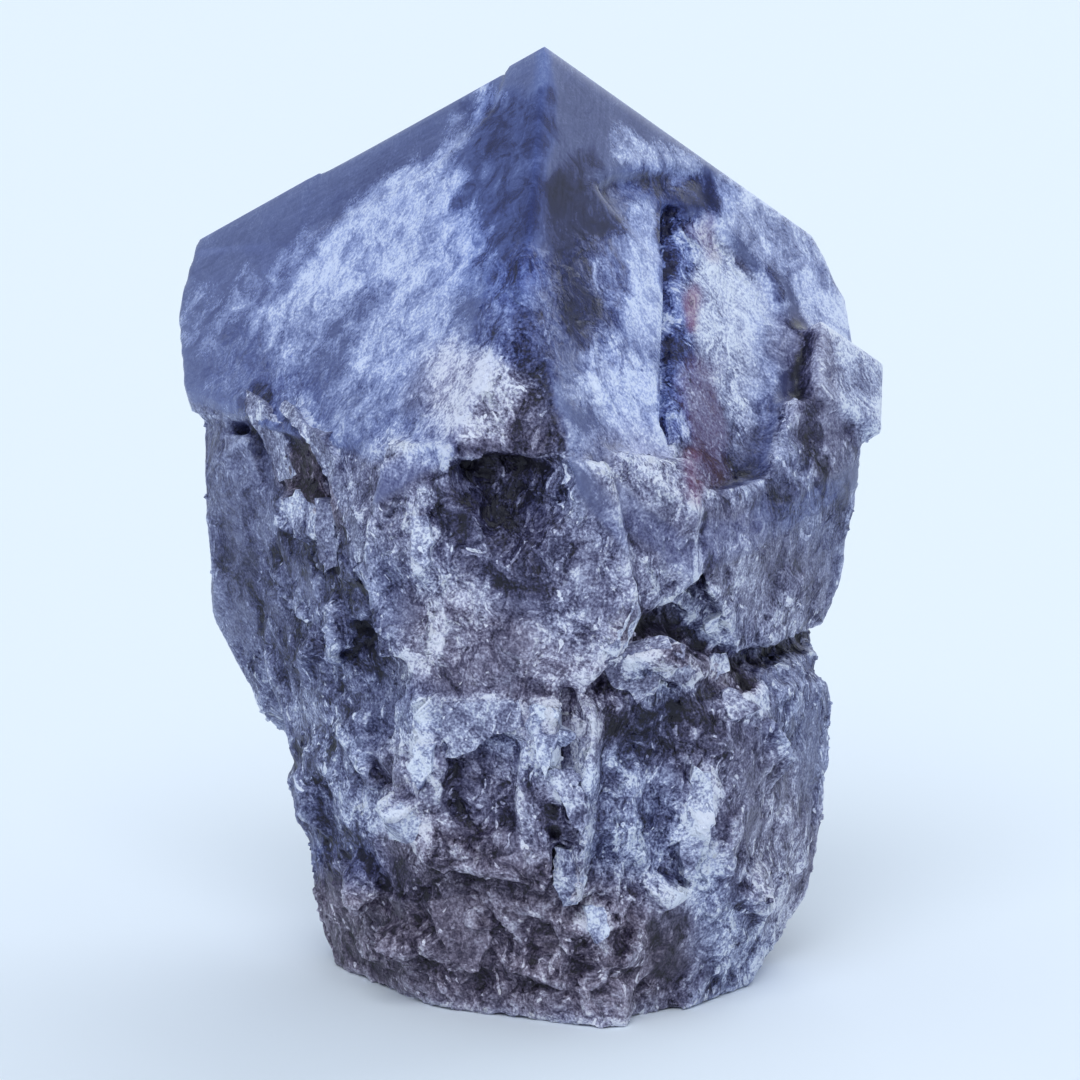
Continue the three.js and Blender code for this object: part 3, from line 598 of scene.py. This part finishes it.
def etchedFluorite():
    # Fluorite: clear slate-purple crystal. Its growth faces are smooth and let the eye in; where it
    # is etched it is sugary, and the white of its small facets hides the colour below.
    print("etched fluorite")
    material = bpy.data.materials.new("etched purple fluorite")
    material.use_nodes = True
    tree = material.node_tree
    tree.nodes.clear()

    own = {}  # what is stored on the mesh
    for name in surfaceValues:
        own[name] = addNode(tree, "ShaderNodeAttribute", attribute_name=name).outputs["Fac"]
    torn = addNode(tree, "ShaderNodeAttribute", attribute_name="torn").outputs["Vector"]
    growth = addNode(tree, "ShaderNodeAttribute", attribute_name="growth").outputs["Vector"]
    place = addNode(tree, "ShaderNodeTexCoord").outputs["Object"]
    lineWidth, lineLength = stone["growthLine"]

    laid = {}
    for name, vector, stretch in (
        ("etching", torn, (1, 1, stone["upright"])),
        ("inMm", place, (1 / mm, 1 / mm, 1 / mm)),
        ("lines", growth, (1 / lineWidth, 1 / lineLength, 0)),
    ):
        laid[name] = addNode(tree, "ShaderNodeVectorMath", {0: vector, 1: stretch}, operation="MULTIPLY")

    grain = {}  # soft noise about 0
    for name, vector, size, detail, roughness in (
        ("patches", laid["etching"], stone["patch"], 3, 0.7),
        ("sugar", laid["inMm"], stone["crumb"], 1, 0.6),
        ("streaks", laid["lines"], 1, 2, 0.55),
    ):
        cloud = addNode(
            tree, "ShaderNodeTexNoise",
            {"Vector": vector, "Scale": 1 / size, "Detail": detail, "Roughness": roughness},
        )
        grain[name] = addNode(tree, "ShaderNodeMath", {0: cloud, 1: 0.5}, operation="SUBTRACT")

    lean, glint = {}, {}  # how each small facet is tilted, and the same as three numbers, which also set its painted glint
    for name in ("chip", "speck"):
        cells = addNode(tree, "ShaderNodeTexVoronoi", {"Vector": laid["etching"], "Scale": 1 / stone[name]})
        lean[name] = addNode(
            tree, "ShaderNodeVectorMath", {0: cells.outputs["Color"], 1: (0.5, 0.5, 0.5)},
            operation="SUBTRACT",
        )
        glint[name] = addNode(tree, "ShaderNodeSeparateXYZ", {"Vector": lean[name]}).outputs

    # the strokes' soft edges, torn by the patches and cut crisp
    crisp = {}
    sheets = addNode(tree, "ShaderNodeMath", {0: grain["patches"]}, operation="ABSOLUTE")
    for name, level, tears, low, high in (
        ("white", own["frost"], ((grain["patches"], 1.5), (grain["sugar"], 0.5)), 0.1, 1.1),
        # black: the dark strokes, partly painted shade
        ("black", own["dark"], ((grain["patches"], -1.6),), 0.15, 1.1),
        ("veil", sheets, (), 0.015, 0.0),  # thin white sheets, seen edge on
        ("paintedGlint", glint["speck"][2], (), 0.42, 0.5),
    ):
        for part, amount in tears:
            level = addNode(
                tree, "ShaderNodeMath", {0: part, 1: amount, 2: level}, operation="MULTIPLY_ADD"
            )
        crisp[name] = addNode(
            tree, "ShaderNodeMapRange", {"Value": level, "From Min": low, "From Max": high},
            interpolation_type="SMOOTHSTEP",
        )

    frostedClear = addNode(tree, "ShaderNodeMath", {0: crisp["white"], 1: 0.55}, operation="MULTIPLY")
    frosted = addNode(tree, "ShaderNodeMath", {0: own["broken"], 1: crisp["white"]}, operation="MAXIMUM")
    sugary = addNode(tree, "ShaderNodeMath", {0: own["broken"], 1: frostedClear}, operation="MAXIMUM")
    clear = addNode(tree, "ShaderNodeMath", {0: 1.0, 1: frosted}, operation="SUBTRACT")
    grip = addNode(
        tree, "ShaderNodeMath", {0: sugary, 1: 0.8, 2: 0.2}, operation="MULTIPLY_ADD"
    )  # how much of the small light and dark shows

    kept = {}  # each shows only where the second lets it
    for name, first, second in (
        ("chip", glint["chip"][0], own["rough"]), ("paintedGlint", crisp["paintedGlint"], own["broken"]),
        # edge: painted highlight on standing edges and painted shade in small dips, on the broken parts
        # only
        ("edge", own["edge"], own["broken"]), ("streak", grain["streaks"], clear),
    ):
        kept[name] = addNode(tree, "ShaderNodeMath", {0: first, 1: second}, operation="MULTIPLY")

    # small: the mottling of the patches and crumbs, and painted glints: each chip and speck lighter or
    # darker at random, and bright white specks
    small = 0.0
    for part, amount in (
        (grain["patches"], 0.75), (grain["sugar"], 0.85), (glint["speck"][0], 0.2),
        (kept["chip"], 0.2), (kept["paintedGlint"], 0.4),
    ):
        small = addNode(tree, "ShaderNodeMath", {0: part, 1: amount, 2: small}, operation="MULTIPLY_ADD")
    light = 0.47  # of the plain stone, between the darkest and the lightest colour
    for part, amount in (
        # black takes light away: painted shade in crevices and hollows, and the darker windows
        (crisp["white"], 0.42), (crisp["black"], -0.36), (own["broad"], 0.06), (small, grip),
        # edge and hollow: painted highlight and painted shade
        (crisp["veil"], 0.08), (kept["edge"], 0.16), (own["hollow"], 0.16), (kept["streak"], 0.2),
    ):
        light = addNode(tree, "ShaderNodeMath", {0: part, 1: amount, 2: light}, operation="MULTIPLY_ADD")

    shades = {"rust": linear(stone["rust"])}
    for name in ("slate", "violetBlue", "smoky"):
        shades[name] = addNode(tree, "ShaderNodeValToRGB", {"Fac": light})
        band = shades[name].color_ramp
        while len(band.elements) < len(stone[name]):
            band.elements.new(0.5)
        for number, (element, shade) in enumerate(zip(band.elements, stone[name])):
            element.position = number / (len(stone[name]) - 1)
            element.color = linear(shade)
    rustShown = addNode(tree, "ShaderNodeMath", {0: own["rust"], 1: 0.6}, operation="MULTIPLY")
    colour = shades["slate"]
    # the blue value mixes in violet-blue, partly as painted sky reflection
    for name, amount in (("violetBlue", own["blue"]), ("smoky", own["warm"]), ("rust", rustShown)):
        colour = addNode(
            tree, "ShaderNodeMixRGB", {"Fac": amount, "Color1": colour, "Color2": shades[name]}
        )

    # relief of the patches and crumbs, then the facets' own tilts
    deep = addNode(
        tree, "ShaderNodeMath", {0: own["rough"], 1: 0.6, 2: 0.1}, operation="MULTIPLY_ADD"
    )
    relief = addNode(tree, "ShaderNodeMath", {0: grain["patches"], 1: deep}, operation="MULTIPLY")
    relief = addNode(
        tree, "ShaderNodeMath", {0: grain["sugar"], 1: 0.14, 2: relief}, operation="MULTIPLY_ADD"
    )
    relief = addNode(tree, "ShaderNodeMath", {0: relief, 1: sugary}, operation="MULTIPLY")
    normal = addNode(tree, "ShaderNodeBump", {"Height": relief, "Distance": 1 * mm, "Strength": 1.0})
    for name, where, amount in (("chip", own["rough"], 0.8), ("speck", sugary, 0.6)):
        far = addNode(tree, "ShaderNodeMath", {0: where, 1: amount}, operation="MULTIPLY")
        tilt = addNode(tree, "ShaderNodeVectorMath", {0: lean[name], "Scale": far}, operation="SCALE")
        normal = addNode(tree, "ShaderNodeVectorMath", {0: normal, 1: tilt}, operation="ADD")
    normal = addNode(tree, "ShaderNodeVectorMath", {0: normal}, operation="NORMALIZE")

    polish = {}  # smooth and see-through on the clear faces, rough and nearly opaque where frosted
    for name, start, change in (("Roughness", 0.2, 0.32), ("Transmission Weight", 0.4, -0.32)):
        polish[name] = addNode(
            tree, "ShaderNodeMath", {0: frosted, 1: change, 2: start}, operation="MULTIPLY_ADD"
        )
    shader = addNode(
        tree, "ShaderNodeBsdfPrincipled",
        {"Base Color": colour, "IOR": stone["ior"], "Normal": normal, **polish},
    )
    depth = addNode(
        tree, "ShaderNodeVolumeAbsorption",
        {"Color": linear(stone["inside"]), "Density": stone["density"]},
    )
    addNode(tree, "ShaderNodeOutputMaterial", {"Surface": shader, "Volume": depth})
    return material


# Floor and light

studio = {
    "floor": "#eef4fa",
    "floorSize": 40,  # metres, so that it reaches the horizon
    "sky": "#e3effc",
    "skyStrength": 0.62,
    "suns": (  # name, where it shines from, width in degrees, strength
        ("key", (-0.15, -0.85, 1.1), 45, 1.3),
        ("rim", (0.5, 0.8, 0.7), 60, 0.9),
    ),
    "sunColour": (0.88, 0.94, 1.0),
}


def makeStudio():
    print("studio")
    bpy.ops.object.select_all(action="DESELECT")
    bpy.ops.mesh.primitive_plane_add(size=studio["floorSize"])
    floor = bpy.context.active_object
    floor.name = "floor"
    paper = bpy.data.materials.new("matt studio paper")
    paper.use_nodes = True
    paper.node_tree.nodes.clear()
    shader = addNode(
        paper.node_tree, "ShaderNodeBsdfPrincipled",
        {"Base Color": linear(studio["floor"]), "Roughness": 0.9},
    )
    addNode(paper.node_tree, "ShaderNodeOutputMaterial", {"Surface": shader})
    floor.data.materials.append(paper)

    scene = bpy.context.scene
    world = bpy.data.worlds.new("studio_light")
    scene.world = world
    world.use_nodes = True
    world.node_tree.nodes.clear()
    glow = addNode(
        world.node_tree, "ShaderNodeBackground",
        {"Color": linear(studio["sky"]), "Strength": studio["skyStrength"]},
    )
    addNode(world.node_tree, "ShaderNodeOutputWorld", {"Surface": glow})

    for name, place, width, strength in studio["suns"]:
        lamp = bpy.data.lights.new(name, "SUN")
        lamp.angle = math.radians(width)
        lamp.energy = strength
        lamp.color = studio["sunColour"]
        holder = bpy.data.objects.new(name, lamp)
        scene.collection.objects.link(holder)
        holder.location = place
        holder.rotation_euler = (-Vector(place)).to_track_quat("-Z", "Y").to_euler()
    scene.view_settings.view_transform = "Standard"


makeCamera()
makeStudio()
crystalPiece, cubeEdges = makeCrystal()
sculptCrystal(crystalPiece, cubeEdges)
pieces = [crystalPiece, makeFlakes(crystalPiece), makeGrains(crystalPiece, cubeEdges)]
fluorite = etchedFluorite()
for piece in pieces:
    piece.data.materials.clear()
    piece.data.materials.append(fluorite)
    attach(piece, "root")
    print("triangles", piece.name, sum(len(p.vertices) - 2 for p in piece.data.polygons))
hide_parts("fluorite_cluster")
